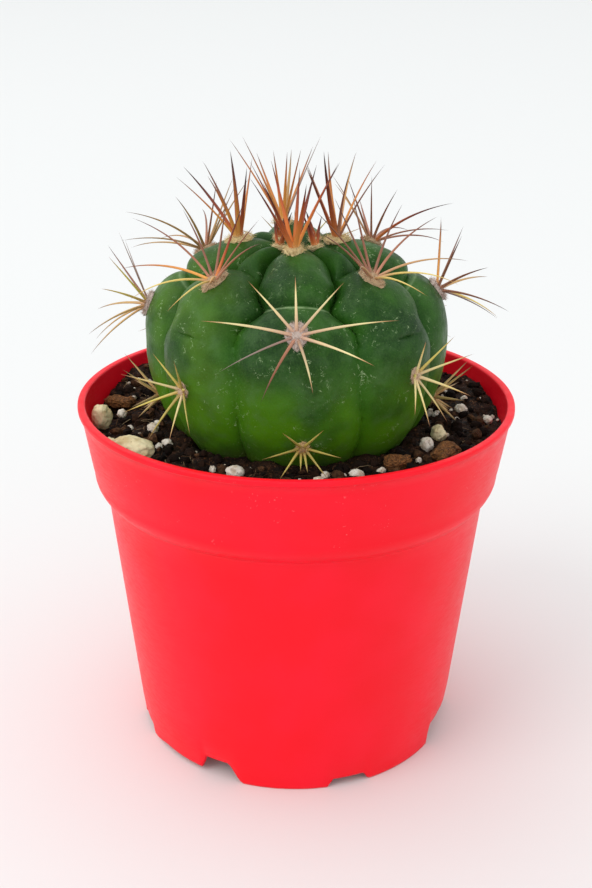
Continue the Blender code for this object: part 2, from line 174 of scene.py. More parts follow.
# For each areole what most of its spines look like, and those that look different.
SPINE_LOOKS = {
    (1, "crown"): ("crown", {0: "dark", 1: "dark", 5: "dark", 6: "dark"}),
    (1, "middle"): ("star", {0: "rosy", 1: "grey"}),
    (1, "low"): ("golden", {}),
    (2, "young"): ("dark", {}),
    (2, "upper"): ("rosy", {0: "yellow", 1: "tawny", 8: "tawny", 9: "yellow"}),
    (2, "lower"): ("cream", {2: "golden", 4: "golden"}),
    (3, "crown"): ("amber", {0: "rosy", 1: "rosy", 2: "dark", 3: "dark", 7: "tawny"}),
    (3, "middle"): ("rosy", {0: "grey", 4: "amber", 5: "tawny", 7: "tan", 8: "yellow"}),
    (3, "low"): ("straw", {}),
    (4, "young"): ("dark", {}),
    (4, "upper"): ("rosy", {2: "dark", 6: "tawny", 7: "tawny"}),
    (4, "lower"): ("cream", {}),
    (5, "crown"): ("amber", {0: "tan", 2: "grey"}),
    (5, "middle"): ("star", {0: "rosy"}),
    (5, "low"): ("golden", {}),
    (6, "young"): ("dark", {}),
    (6, "upper"): ("tan", {0: "tawny", 1: "rosy", 5: "rosy"}),
    (6, "lower"): ("golden", {}),
    (7, "crown"): ("amber", {0: "dark", 1: "rosy", 2: "dark", 5: "dark"}),
    (7, "middle"): ("tan", {2: "rosy", 3: "grey", 4: "grey", 5: "golden", 6: "yellow"}),
    (7, "low"): ("straw", {}),
    (8, "young"): ("dark", {}),
    (8, "upper"): ("rosy", {0: "yellow", 1: "amber", 5: "dark", 8: "tawny", 9: "yellow"}),
    (8, "lower"): ("golden", {2: "cream", 7: "cream"}),
}

# Angle from the front, distance of the middle from the pot's wall, size across, along and up,
# and turn in degrees. Lengths are in millimetres.
STONES = {
    "pumice_front_left": (-54, 4.3, (8.4, 6.0, 5.0), 25),
    "pumice_left": (-83, 3.0, (3.6, 4.0, 5.2), 0),
    "pumice_chip_left": (-66, 3.0, (3.0, 2.4, 2.2), 40),
    "pumice_right": (69, 12.0, (3.4, 3.0, 3.2), 15),
    "pumice_back": (171, 6.0, (5.2, 4.4, 4.2), 50),
    "perlite_left_1": (-74, 12.4, (3.2, 2.0, 1.9), 0),
    "perlite_left_2": (-59, 12.8, (2.4, 1.6, 1.6), 20),
    "perlite_left_3": (-89, 6.6, (2.4, 2.0, 1.8), 0),
    "perlite_front_1": (-21, 10.8, (3.4, 2.6, 2.4), 10),
    "perlite_front_2": (20, 9.8, (2.8, 2.4, 2.2), 0),
    "perlite_front_3": (7, 8.8, (2.2, 2.0, 2.0), 45),
    "perlite_ball": (57, 12.0, (2.6, 2.6, 2.9), 0),
    "perlite_right_1": (95, 8.0, (3.0, 2.4, 2.2), 20),
    "perlite_right_2": (86, 3.4, (2.2, 2.0, 1.8), 0),
    "perlite_back_1": (146, 9.6, (3.0, 2.6, 2.4), 0),
    "perlite_back_2": (-151, 5.4, (2.6, 2.4, 2.2), 35),
    "perlite_back_3": (-118, 6.0, (2.8, 2.6, 2.2), 0),
    "bark_front_right": (37, 10.4, (4.8, 3.4, 2.4), -20),
    "bark_right": (55, 7.4, (7.4, 4.0, 2.2), 8),
    "bark_left": (-101, 4.8, (5.6, 3.4, 1.8), 80),
    "bark_back": (-160, 6.4, (6.0, 4.0, 2.2), -20),
}
STONE_SHOWING = 0.28


# Colours and finishes


def paint(red, green, blue):
    """A screen colour, 0 to 255, as the linear colour that shaders and attributes take."""
    shares = [value / 255 for value in (red, green, blue)]
    linear = [s / 12.92 if s <= 0.04045 else ((s + 0.055) / 1.055) ** 2.4 for s in shares]
    return (*linear, 1.0)


class Finish:
    """A material being mixed from textures on the piece's own coordinates."""

    def __init__(self, name, colour=(128, 128, 128), roughness=0.5, specular=0.5):
        self.material = bpy.data.materials.new(name)
        self.material.use_nodes = True
        self.tree = self.material.node_tree
        self.shader = self.tree.nodes["Principled BSDF"]
        self.set(self.shader, "Base Color", paint(*colour))
        self.set(self.shader, "Roughness", roughness)
        self.set(self.shader, "Specular IOR Level", specular)
        self.place = self.add("ShaderNodeTexCoord").outputs["Object"]

    def add(self, kind, **settings):
        made = self.tree.nodes.new(kind)
        for name, value in settings.items():
            setattr(made, name, value)
        return made

    def set(self, made, socket, value):
        if isinstance(value, bpy.types.NodeSocket):
            self.tree.links.new(value, made.inputs[socket])
        else:
            made.inputs[socket].default_value = value

    def attribute(self, name, output="Fac"):
        return self.add("ShaderNodeAttribute", attribute_name=name).outputs[output]

    def stretched(self, scale, turn=(0.0, 0.0, 0.0)):
        mapping = self.add("ShaderNodeMapping")
        self.set(mapping, "Vector", self.place)
        self.set(mapping, "Scale", scale)
        self.set(mapping, "Rotation", [math.radians(angle) for angle in turn])
        return mapping.outputs["Vector"]

    def noise(self, size, detail=3.0, rough=0.55, twist=0.0, place=None):
        """Cloudy variation, 0 to 1, with blotches of the size in millimetres."""
        made = self.add("ShaderNodeTexNoise")
        self.set(made, "Vector", place or self.place)
        self.set(made, "Scale", 1.0 / (size * MM))
        self.set(made, "Detail", detail)
        self.set(made, "Roughness", rough)
        self.set(made, "Distortion", twist)
        return made.outputs["Fac"]

    def cells(self, size):
        made = self.add("ShaderNodeTexVoronoi")
        self.set(made, "Vector", self.place)
        self.set(made, "Scale", 1.0 / (size * MM))
        return made.outputs["Distance"]

    def math(self, kind, first, second=0.0):
        made = self.add("ShaderNodeMath", operation=kind)
        self.set(made, 0, first)
        self.set(made, 1, second)
        return made.outputs[0]

    def band(self, value, low, high, start=0.0, end=1.0):
        """The value run from low..high to start..end, held at its ends."""
        made = self.add("ShaderNodeMapRange", clamp=True, interpolation_type="SMOOTHSTEP")
        self.set(made, "Value", value)
        for socket, number in zip(("From Min", "From Max", "To Min", "To Max"), (low, high, start, end)):
            self.set(made, socket, number)
        return made.outputs["Result"]

    def mix(self, share, first, second, kind="MIX"):
        made = self.add("ShaderNodeMix", data_type="RGBA", blend_type=kind)
        self.set(made, 0, share)
        for index, value in ((6, first), (7, second)):
            self.set(made, index, paint(*value) if isinstance(value, tuple) else value)
        return made.outputs[2]

    def times(self, first, second):
        return self.math("MULTIPLY", first, second)

    def parts(self, vector):
        made = self.add("ShaderNodeSeparateXYZ")
        self.set(made, "Vector", vector)
        return made.outputs

    def bump(self, height, depth, under=None):
        """Relief of the depth in millimetres for a height from 0 to 1."""
        made = self.add("ShaderNodeBump")
        self.set(made, "Height", height)
        self.set(made, "Distance", depth * MM)
        if under is not None:
            self.set(made, "Normal", under)
        return made.outputs["Normal"]

    def finish(self, colour=None, roughness=None, normal=None):
        for socket, value in (("Base Color", colour), ("Roughness", roughness), ("Normal", normal)):
            if value is not None:
                self.set(self.shader, socket, value)
        return self.material


def red_plastic():
    f = Finish("red_plastic", roughness=0.36, specular=0.2)
    cloud = f.noise(16, 2)
    height = f.parts(f.place)["Z"]
    colour = f.mix(f.band(cloud, 0.35, 0.7), (250, 10, 33), (254, 15, 42))
    dust = f.times(f.band(f.noise(0.5, 2), 0.66, 0.72), f.band(f.noise(7, 2), 0.55, 0.68))
    on_collar = f.band(height, 0.052, 0.058)
    colour = f.mix(f.times(f.times(dust, on_collar), 0.4), colour, (255, 150, 150))
    rub = f.noise(2.4, 4, 0.7, place=f.stretched((1, 1, 6)))
    roughness = f.band(rub, 0.3, 0.7, 0.32, 0.46)
    grain = f.noise(0.35, 2)
    swell = f.noise(9, 1)
    normal = f.bump(swell, 0.12, f.bump(grain, 0.012))
    return f.finish(colour, roughness, normal)


def cactus_skin():
    f = Finish("cactus_skin", roughness=0.42, specular=0.13)
    valley = f.attribute("valley")
    age = f.attribute("age")
    place = f.parts(f.place)
    skin = f.mix(f.band(f.noise(7, 3), 0.34, 0.66), (24, 56, 15), (46, 88, 26))
    # Painted light: the left flank, towards -X, is painted a lighter yellow-green in patches, where the key
    # light from the left falls on it.
    painted_light_left_side = f.times(f.band(place["X"], 0.004, -0.026), f.band(f.noise(11, 2), 0.3, 0.62))
    skin = f.mix(f.times(painted_light_left_side, 0.6), skin, (84, 124, 24))
    low_down = f.times(f.band(place["Z"], 0.088, 0.070), f.band(f.noise(13, 2), 0.3, 0.6))
    skin = f.mix(f.times(low_down, 0.8), skin, (84, 140, 6))
    skin = f.mix(f.times(valley, 0.35), skin, (30, 86, 10))
    deep = f.band(f.noise(12, 1, place=f.stretched((1, 1, 0.8), (40, 10, 0))), 0.44, 0.62, 0.0, 0.62)
    deep = f.times(deep, f.band(place["Z"], 0.074, 0.086))
    skin = f.mix(deep, skin, (16, 46, 20))
    bloom = f.times(f.band(f.noise(4, 5, 0.65), 0.45, 0.68), f.band(valley, 0.6, 0.1))
    skin = f.mix(f.times(bloom, 0.28), skin, (86, 118, 74))
    skin = f.mix(f.times(f.band(age, 0.5, 1.0), 0.5), skin, (70, 68, 30))
    patches = f.band(f.noise(5.5, 3), 0.46, 0.58)
    wander = f.math("ABSOLUTE", f.math("SUBTRACT", f.noise(3.0, 4, 0.65, 0.6), 0.5))
    hairlines = f.times(f.band(wander, 0.011, 0.003), f.band(f.noise(1.3, 3), 0.53, 0.6))
    crossing = f.math("ABSOLUTE", f.math("SUBTRACT", f.noise(1.7, 3, 0.6, 1.4), 0.45))
    nicks = f.times(f.band(crossing, 0.012, 0.003), f.band(f.noise(0.9, 2), 0.6, 0.66))
    specks = f.times(f.band(f.cells(0.5), 0.13, 0.05), f.band(f.noise(6, 3), 0.47, 0.62))
    marks = f.math("MAXIMUM", f.times(hairlines, patches), f.times(nicks, patches))
    marks = f.math("MAXIMUM", marks, f.times(specks, 0.6))
    marks = f.math("MAXIMUM", marks, f.attribute("scar"))
    skin = f.mix(f.times(marks, 0.6), skin, (176, 200, 150))
    pores = f.noise(0.3, 3, 0.6)
    skin = f.mix(f.band(pores, 0.35, 0.7, 0.0, 0.14), skin, (88, 134, 58))
    roughness = f.band(f.noise(1.6, 4), 0.3, 0.75, 0.34, 0.54)
    normal = f.bump(f.noise(2.2, 3), 0.12, f.bump(pores, 0.04))
    return f.finish(skin, roughness, normal)


def spine_horn():
    f = Finish("spine_horn", roughness=0.42, specular=0.45)
    colour = f.attribute("tint", "Color")
    streak = f.noise(0.35, 3, 0.6, place=f.stretched((1, 1, 0.4)))
    colour = f.mix(f.band(streak, 0.35, 0.75, 0.0, 0.35), colour, (226, 205, 160), "OVERLAY")
    normal = f.bump(streak, 0.02)
    return f.finish(colour, f.band(streak, 0.3, 0.7, 0.36, 0.55), normal)


def wool():
    f = Finish("wool", roughness=0.95, specular=0.1)
    f.set(f.shader, "Sheen Weight", 0.3)
    colour = f.attribute("tint", "Color")
    colour = f.mix(f.band(f.noise(0.5, 3), 0.45, 0.7, 0.0, 0.5), colour, (150, 105, 80), "MULTIPLY")
    return f.finish(colour, normal=f.bump(f.noise(0.25, 3), 0.06))


def soil_peat():
    f = Finish("soil_peat", roughness=0.85, specular=0.15)
    colour = f.mix(f.band(f.noise(2.2, 5, 0.65), 0.35, 0.68), (14, 7, 5), (50, 29, 18))
    colour = f.mix(f.band(f.noise(0.5, 3), 0.58, 0.7, 0.0, 0.8), colour, (112, 72, 44))
    fibre = f.band(f.noise(0.3, 2, 0.5, 2.0, f.stretched((1, 0.25, 1), (0, 0, 35))), 0.64, 0.72)
    colour = f.mix(f.times(fibre, 0.5), colour, (140, 104, 74))
    normal = f.bump(f.noise(0.7, 5, 0.7), 0.5, f.bump(f.noise(0.2, 2), 0.1))
    return f.finish(colour, f.band(f.noise(1.4, 3), 0.35, 0.65, 0.5, 0.95), normal)


def crumb_earth():
    f = Finish("crumb_earth", roughness=0.9, specular=0.12)
    colour = f.attribute("tint", "Color")
    colour = f.mix(f.band(f.noise(0.6, 4, 0.65), 0.35, 0.7, 0.0, 0.75), colour, (14, 8, 7))
    return f.finish(colour, normal=f.bump(f.noise(0.4, 4, 0.7), 0.25))


def white_perlite():
    f = Finish("white_perlite", roughness=0.85, specular=0.3)
    colour = f.mix(f.band(f.noise(1.2, 4, 0.6), 0.4, 0.65), (230, 221, 208), (196, 178, 156))
    pits = f.band(f.cells(0.55), 0.26, 0.14)
    colour = f.mix(f.times(pits, 0.5), colour, (140, 116, 96))
    soiled = f.band(f.noise(0.9, 5, 0.7), 0.58, 0.72)
    colour = f.mix(f.times(soiled, 0.5), colour, (96, 72, 54))
    normal = f.bump(f.cells(0.55), 0.14, f.bump(f.noise(0.25, 3), 0.08))
    return f.finish(colour, normal=normal)


def cream_pumice():
    f = Finish("cream_pumice", roughness=0.9, specular=0.25)
    colour = f.mix(f.band(f.noise(2.6, 4), 0.38, 0.66), (230, 218, 178), (200, 180, 134))
    pits = f.band(f.cells(0.7), 0.2, 0.1)
    pits = f.times(pits, f.band(f.noise(1.8, 2), 0.42, 0.6))
    colour = f.mix(f.times(pits, 0.7), colour, (110, 86, 56))
    colour = f.mix(f.band(f.noise(1.0, 5, 0.7), 0.62, 0.74, 0.0, 0.6), colour, (120, 92, 60))
    normal = f.bump(f.noise(0.9, 4, 0.65), 0.25, f.bump(f.noise(0.22, 3), 0.07))
    return f.finish(colour, normal=normal)


def bark_chip():
    f = Finish("bark_chip", roughness=0.88, specular=0.25)
    layers = f.noise(0.5, 5, 0.7, 0.8, f.stretched((1, 1, 3.0)))
    colour = f.mix(f.band(layers, 0.35, 0.65), (60, 37, 22), (152, 100, 54))
    colour = f.mix(f.band(f.noise(1.8, 4), 0.55, 0.7, 0.0, 0.8), colour, (40, 24, 16))
    return f.finish(colour, normal=f.bump(layers, 0.35))


def paper_floor():
    f = Finish("pale_floor", (231, 232, 231), roughness=0.9, specular=0.05)
    return f.finish(normal=f.bump(f.noise(1.2, 2), 0.01))


# Making helpers


def around(angle, radius, height=0.0):
    """The point at an angle from the front (-Y), plus towards +X, in degrees."""
    turn = math.radians(angle)
    return Vector((radius * math.sin(turn), -radius * math.cos(turn), height))


def eased(value, knots):
    """A curve that runs smoothly through its (place, height) knots."""
    if value <= knots[0][0]:
        return knots[0][1]
    for (left, low), (right, high) in zip(knots, knots[1:]):
        if value <= right:
            share = (value - left) / (right - left)
            return low + (high - low) * share * share * (3 - 2 * share)
    return knots[-1][1]


def added(name):
    """The primitive that was added last, named."""
    obj = bpy.context.active_object
    obj.name = name
    obj.data.name = name
    return obj


def linked(name, data):
    obj = bpy.data.objects.new(name, data)
    bpy.context.scene.collection.objects.link(obj)
    return obj


def deselect():
    bpy.ops.object.select_all(action="DESELECT")


def make_active(obj):
    deselect()
    obj.select_set(True)
    bpy.context.view_layer.objects.active = obj


def edit(obj):
    """Into edit mode with the whole piece selected."""
    make_active(obj)
    bpy.ops.object.mode_set(mode="EDIT")
    bpy.ops.mesh.select_all(action="SELECT")


def leave_edit():
    bpy.ops.object.mode_set(mode="OBJECT")


def close_up(obj, distance=1e-6):
    """Merges what meets and turns the faces outwards."""
    edit(obj)
    bpy.ops.mesh.remove_doubles(threshold=distance)
    bpy.ops.mesh.normals_make_consistent(inside=False)
    leave_edit()


def apply_modifier(obj, kind, **settings):
    bpy.context.view_layer.objects.active = obj
    modifier = obj.modifiers.new(kind.lower(), kind)
    for name, value in settings.items():
        setattr(modifier, name, value)
    bpy.ops.object.modifier_apply(modifier=modifier.name)


def place_done(obj, material, slot, replaces=(), smooth=35):
    """Applies the piece's place, gives it its finish and lets it ride on the part."""
    make_active(obj)
    bpy.ops.object.transform_apply(location=True, rotation=True, scale=True)
    bpy.ops.object.shade_smooth_by_angle(angle=math.radians(smooth))
    obj.data.materials.clear()
    obj.data.materials.append(material)
    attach(obj, "root")
    if replaces:
        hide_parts(*replaces)
    return obj


def wrapped_grid(name, steps, rings, place):
    """A sheet rolled once round Z: place(angle, share) gives each point, share runs 0 to 1."""
    deselect()
    bpy.ops.mesh.primitive_grid_add(x_subdivisions=steps, y_subdivisions=rings, size=1.0)
    obj = added(name)
    for vertex in obj.data.vertices:
        vertex.co = place(360.0 * (vertex.co.x + 0.5), vertex.co.y + 0.5)
    close_up(obj)
    return obj


def joined_copies(name, template, copies):
    """One mesh of many copies: each copy is (points, tints), one tint for each point."""
    count = len(template.data.vertices)
    faces = [tuple(polygon.vertices) for polygon in template.data.polygons]
    points = np.concatenate([points for points, tints in copies])
    tints = np.concatenate([tints for points, tints in copies])
    all_faces = []
    for index in range(len(copies)):
        start = index * count
        all_faces += [tuple(corner + start for corner in face) for face in faces]
    mesh = bpy.data.meshes.new(name)
    mesh.from_pydata(points.tolist(), [], all_faces)
    tint = mesh.attributes.new("tint", "FLOAT_COLOR", "POINT")
    tint.data.foreach_set("color", tints.astype(np.float32).ravel())
    return linked(name, mesh)


def points_of(obj):
    return np.array([tuple(vertex.co) for vertex in obj.data.vertices])


def drop(*objects):
    for obj in objects:
        bpy.data.objects.remove(obj)


# The pot


def wall_radius(height):
    return BASE_RADIUS + (SHOULDER_RADIUS - BASE_RADIUS) * height / SHOULDER_LEVEL


def rounded_corner(corner, before, after, reach, count=4):
    """Points that round off a corner of a profile within its reach."""
    corner, before, after = Vector(corner), Vector(before), Vector(after)
    start = corner + (before - corner).normalized() * reach
    end = corner + (after - corner).normalized() * reach
    shares = [index / count for index in range(count + 1)]
    return [start * (1 - t) ** 2 + corner * 2 * t * (1 - t) + end * t**2 for t in shares]


def collar_line(inset):
    """The collar, the shoulder under it and the wall, from top to bottom, moved in."""
    shoulder = [(1.0, -0.14), (1.0, 0.02), (0.97, 0.16), (0.88, 0.36), (0.72, 0.56), (0.5, 0.74),
                (0.26, 0.88), (0.08, 0.97), (-0.01, 1.1)]
    line = []
    for index in range(6):
        share = index / 6
        line.append((COLLAR_TOP_RADIUS - inset - COLLAR_TAPER * share, POT_HEIGHT - LIP_HEIGHT
                     - (COLLAR_HEIGHT - LIP_HEIGHT) * share))
    for share, fall in shoulder:
        height = COLLAR_LEVEL - SHOULDER_HEIGHT * fall
        line.append((SHOULDER_RADIUS + SHOULDER_DEPTH * share - inset, height))
    for index in range(1, 12):
        height = SHOULDER_LEVEL * (1 - index / 12)
        line.append((wall_radius(height) - inset, height))
    return line


# Some notches of the foot ring start or end off their place: notch, start and end in degrees.
ODD_NOTCHES = {1: (2.0, 2.0), 2: (3.0, 18.0)}
# The piece of the ring from the sixth to the seventh notch stands a little off the ground.
LIFTED_FOOT = [(-64.0, 0.0), (-52.0, 1.0), (-31.5, 1.0), (-30.5, 0.0)]
FOOT_LIFT = 0.9 * MM


def foot_height(angle):
    """How far the foot ring is cut away at an angle: eight notches, steep on one side."""
    angle = (angle + 180.0) % 360.0 - 180.0
    height = FOOT_LIFT * eased(angle, LIFTED_FOOT)
    half = math.degrees(NOTCH_WIDTH / 2 / BASE_RADIUS)
    for notch in range(NOTCH_COUNT):
        late_start, late_end = ODD_NOTCHES.get(notch, (0.0, 0.0))
        off = (angle - FIRST_NOTCH_ANGLE - notch * 360.0 / NOTCH_COUNT + 180.0) % 360.0 - 180.0
        deep = notch % 2 == 0
        flow = 4.2 if deep else 1.6
        start, end = -half + late_start, half + late_end
        rise = eased(off, [(start - 0.6, 0.0), (start + 0.5, 1.0)])
        fall = eased(off, [(end - flow, 1.0), (end + flow * 0.5, 0.0)])
        depth = DEEP_NOTCH_HEIGHT if deep else SHALLOW_NOTCH_HEIGHT
        height = max(height, depth * rise * fall)
    return height


def cut_drain_slots(pot):
    """Cuts a slot through the floor behind each deep notch."""
    size = (NOTCH_WIDTH, DRAIN_LENGTH, FLOOR_LIFT + 2 * WALL)
    blocks = []
    for notch in range(0, NOTCH_COUNT, 2):
        angle = FIRST_NOTCH_ANGLE + notch * 360.0 / NOTCH_COUNT
        middle = around(angle, BASE_RADIUS - 2 * WALL - DRAIN_LENGTH / 2, FLOOR_LIFT)
        turn = (0.0, 0.0, math.radians(angle))
        deselect()
        bpy.ops.mesh.primitive_cube_add(size=1.0, location=middle, rotation=turn, scale=size)
        blocks.append(added(f"slot_block_{notch}"))
    for block in blocks:
        block.select_set(True)
    bpy.ops.object.join()
    cutter = bpy.context.active_object
    apply_modifier(pot, "BOOLEAN", operation="DIFFERENCE", solver="EXACT", object=cutter)
    drop(cutter)


def build_pot(material):
    outer = collar_line(0.0)
    outer[0] = (COLLAR_TOP_RADIUS, POT_HEIGHT - 1.35 * LIP_HEIGHT)
    inner = collar_line(WALL)
    inner = [(radius, height) for radius, height in inner if height > FLOOR_TOP + 2.5 * MM]
    lip_out = Vector((RIM_RADIUS, POT_HEIGHT))
    lip_in = Vector((COLLAR_TOP_RADIUS - WALL, POT_HEIGHT))
    under_lip = (RIM_RADIUS, POT_HEIGHT - LIP_HEIGHT)
    inner_top = (COLLAR_TOP_RADIUS - WALL - 0.05 * MM, POT_HEIGHT - 1.2 * LIP_HEIGHT)
    floor_edge = (wall_radius(FLOOR_TOP) - WALL, FLOOR_TOP)
    profile = [(0.0, FLOOR_TOP), (floor_edge[0] * 0.5, FLOOR_TOP)]
    profile += rounded_corner(floor_edge, (0.0, FLOOR_TOP), inner[-1], 1.2 * MM)
    profile += reversed(inner[1:])
    profile += [inner_top]
    profile += rounded_corner(lip_in, inner_top, lip_out, 0.38 * MM, 3)
    profile += rounded_corner(lip_out, lip_in, under_lip, 0.42 * MM, 4)
    profile += rounded_corner(under_lip, lip_out, outer[0], 0.16 * MM, 2)
    profile += outer
    foot_levels = (2.2, 0.9, 0.25)
    profile += [(wall_radius(level * MM) - 0.10 * MM, level * MM) for level in foot_levels]
    profile += [(BASE_RADIUS - 0.30 * MM, 0.0), (BASE_RADIUS - WALL + 0.1 * MM, 0.0)]
    profile += [(BASE_RADIUS - WALL, 0.25 * MM), (wall_radius(FLOOR_LIFT) - WALL, FLOOR_LIFT)]
    profile += [(BASE_RADIUS - 1.7 * MM, FLOOR_LIFT), ((BASE_RADIUS - WALL) * 0.5, FLOOR_LIFT)]
    profile += [(0.0, FLOOR_LIFT)]
    profile = [Vector(point) for point in profile]
    last = len(profile) - 1
    notch_top = DEEP_NOTCH_HEIGHT + 2.2 * MM

    def place(angle, share):
        radius, height = profile[round(share * last)]
        on_foot = radius > BASE_RADIUS - 1.6 * MM and height < notch_top
        if on_foot:
            cut = foot_height(angle)
            low = height / notch_top
            height = cut + (notch_top - cut) * low
        return around(angle, radius, height)

    pot = wrapped_grid("pot", 360, last, place)
    cut_drain_slots(pot)
    return place_done(pot, material, "pot_plastic", ["pot"], smooth=50)


# The body


def crest_point(elevation):
    """Radius, height and outward normal on the top of a rib, at an elevation in degrees."""
    across = math.cos(math.radians(elevation))
    up = math.sin(math.radians(elevation))
    rise = CROWN_RISE if up >= 0 else ROOT_DROP
    share = abs(up) ** (2 / PROFILE_POWER)
    radius = BODY_RADIUS * max(across, 0.0) ** (2 / PROFILE_POWER)
    height = EQUATOR_LEVEL + math.copysign(rise * share, up)
    slope = PROFILE_POWER - 1
    normal_out = (radius / BODY_RADIUS) ** slope / BODY_RADIUS
    normal_up = math.copysign(share**slope / rise, up)
    size = math.hypot(normal_out, normal_up)
    return radius, height, normal_out / size, normal_up / size


# How far, in degrees, the groove on each side of an odd rib leans towards the even rib.
GROOVE_LEAN = [
    (-60, 4.0), (-25, 3.5), (-5, 1.5), (20, 3.8), (41, -4.8), (58, 5.0), (72, 11.0), (84, 6.0), (90, 0.0),
]
# How far the grooves of the lower half are turned to the right.
GROOVE_TURN = [(-30, 2.0), (10, 0.0)]
GROOVE_FULLNESS = [(-90, 0.2), (-25, 0.38), (0, 0.52), (25, 0.95), (50, 1.5), (70, 1.55), (90, 1.5)]
# Depth in millimetres of the fine line at the bottom of a groove.
GROOVE_LINE = [(-40, 0.25), (-18, 0.34), (-5, 0.08), (15, 0.12), (30, 0.5), (60, 0.5), (80, 0.1)]
# Creases across a rib: elevation, depth, reach above and below, and how much of the width they take.
CREASES = {
    "odd": [(42.0, 2.2, 3.6, 9.0, 1.0)],
    "even": [(62.0, 2.7, 5.0, 7.0, 1.0), (13.0, 0.8, 3.5, 4.0, 0.34)],
}


# The rib at the back stands this much taller beside the crown, and a little to one side.
TALL_RIB = 1.5 * MM
TALL_RIB_ANGLE = -168.0


def tubercle_relief(angle, elevation):
    """How far the skin is sunk, how deep in a valley it lies (0 to 1), its rib and its place across."""
    angle -= eased(elevation, GROOVE_TURN)
    rib = math.floor(angle / RIB_ANGLE + 0.5)
    odd = rib % 2 == 0
    off = angle - rib * RIB_ANGLE
    lean = eased(elevation, GROOVE_LEAN)
    half = RIB_ANGLE / 2 + (lean if odd else -lean)
    if abs(off) > half:
        rib += 1 if off > 0 else -1
        odd = not odd
        off = angle - rib * RIB_ANGLE
        half = RIB_ANGLE - half
    across = min(abs(off) / half, 1.0)
    level = max(math.cos(math.radians(elevation)), 0.0) ** 0.5
    round_top = eased(elevation, [(0, 0.0), (45, 1.0)])
    lobe = 1.0 - (1.0 - across**2.3) ** 0.6
    flank = (1 - round_top) * across**2.4 + round_top * lobe
    sink = GROOVE_DEPTH * level * eased(elevation, GROOVE_FULLNESS) * flank
    radius = BODY_RADIUS * max(math.cos(math.radians(elevation)), 0.02)
    to_valley = (1 - across) * math.radians(half) * radius / MM
    line = math.exp(-((to_valley / 0.4) ** 2))
    depth = eased(elevation, GROOVE_LINE)
    sink += depth * MM * line
    valley = math.exp(-((to_valley / 2.0) ** 2))
    for crease, drop, above, below, width in CREASES["odd" if odd else "even"]:
        off = elevation - crease
        broad = math.exp(-abs(off) / (above if off > 0 else below))
        sharp = math.exp(-((off / 0.9) ** 2))
        middle = 1 - across**4 if width == 1.0 else math.exp(-((across / width) ** 2))
        sink += (drop * broad + 0.25 * sharp) * MM * middle
        valley = max(valley, 0.8 * sharp * middle)
    from_tall = (angle - TALL_RIB_ANGLE + 180.0) % 360.0 - 180.0
    sink -= TALL_RIB * math.exp(-((from_tall / 27) ** 2) - ((elevation - 60) / 16) ** 2)
    return sink, valley, rib, across


def body_point(angle, elevation):
    radius, height, out, up = crest_point(elevation)
    sink = tubercle_relief(angle, elevation)[0]
    radius -= sink * out
    height -= sink * up
    if elevation > 0:
        height -= DIMPLE_DEPTH * math.exp(-((radius / DIMPLE_RADIUS) ** 2))
    return around(angle, max(radius, 0.0), height)


def build_body(material):
    deselect()
    bpy.ops.mesh.primitive_uv_sphere_add(segments=360, ring_count=220, radius=1.0)
    body = added("cactus_body")
    valleys = []
    ages = []
    scars = []
    for vertex in body.data.vertices:
        x, y, z = vertex.co
        angle = math.degrees(math.atan2(x, -y))
        elevation = math.degrees(math.asin(max(-1.0, min(1.0, z))))
        sink, valley, rib, across = tubercle_relief(angle, elevation)
        place = body_point(angle, elevation)
        swell = noise.noise(place / (7 * MM)) * 0.22 + noise.noise(place / (2.6 * MM)) * 0.07
        seam = 0.0
        if rib % 8 == 0 and 48 < elevation < 66:
            seam = math.exp(-((angle / 1.1) ** 2)) * eased(elevation, [(48, 0), (54, 1), (60, 1), (66, 0)])
        place += (place - Vector((0, 0, EQUATOR_LEVEL))).normalized() * (swell - 0.28 * seam) * MM
        vertex.co = place
        scar = 0.0
        if rib % 2 == 0:
            ragged = 0.9 + 0.8 * noise.noise(place / (1.1 * MM))
            scar = math.exp(-(((elevation - 38.6) / 0.7) ** 2)) * (1 - across**6) * ragged
        valleys.append(valley)
        ages.append(eased(elevation + 5 * noise.noise(place / (9 * MM)), [(-42, 1.0), (-18, 0.0)]))
        scars.append(max(scar, 0.0) * (1.0 if rib % 8 == 0 else 0.5))
    for name, values in (("valley", valleys), ("age", ages), ("scar", scars)):
        attribute = body.data.attributes.new(name, "FLOAT", "POINT")
        attribute.data.foreach_set("value", values)
    return place_done(body, material, "cactus_skin", ["cactus_body"], smooth=60)


def surface_frame(angle, elevation):
    """Point, outward normal, direction up the rib and direction to its right."""
    here = body_point(angle, elevation)
    above = body_point(angle, elevation + 1.0)
    below = body_point(angle, elevation - 1.0)
    up = (above - below).normalized()
    right = around(angle + 90.0, 1.0)
    normal = up.cross(right).normalized()
    if normal.dot(here - Vector((0.0, 0.0, EQUATOR_LEVEL - CROWN_RISE))) < 0:
        normal.negate()
    return here, normal, up, right


# Spines and wool

SPINE_STEPS = 14

